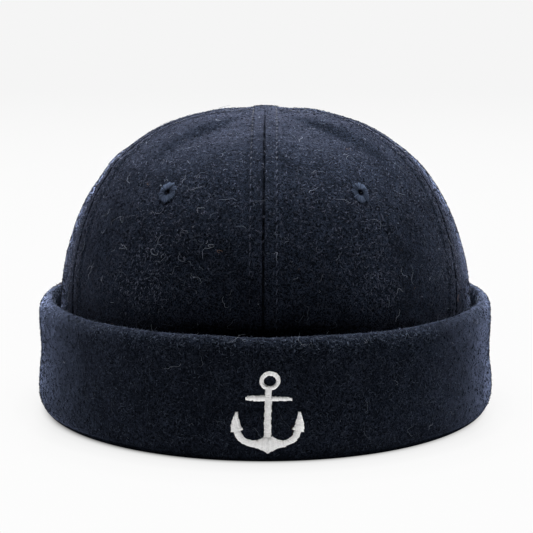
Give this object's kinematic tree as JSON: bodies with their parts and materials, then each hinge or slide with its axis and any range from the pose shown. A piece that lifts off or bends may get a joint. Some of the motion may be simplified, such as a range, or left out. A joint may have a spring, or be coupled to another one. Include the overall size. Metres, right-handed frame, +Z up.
{
  "type": "docker cap",
  "caption": "Brimless docker cap of thick felted wool: a domed crown of sewn panels over a deep turned-up cuff, with stitched eyelets and an embroidered anchor on the front.",
  "frame": {"origin": "on the surface that the cap stands on, under the middle of the cuff", "axes": "+Z up through the crown, the wearer's front towards -Y, the wearer's left towards +X"},
  "size_m": [0.192, 0.2222, 0.1237],
  "materials": {
    "wool": "felted navy melton wool",
    "eyelet_thread": "satin blue-grey thread",
    "anchor_thread": "satin white thread"
  },
  "bodies": {
    "root": {"cuff": "wool", "panel_front_left": "wool", "panel_front_right": "wool", "panel_side_left": "wool", "panel_side_right": "wool", "panel_back_left": "wool", "panel_back_right": "wool", "eyelet_left": "eyelet_thread", "eyelet_right": "eyelet_thread", "anchor": "anchor_thread"}
  },
  "joints": []
}
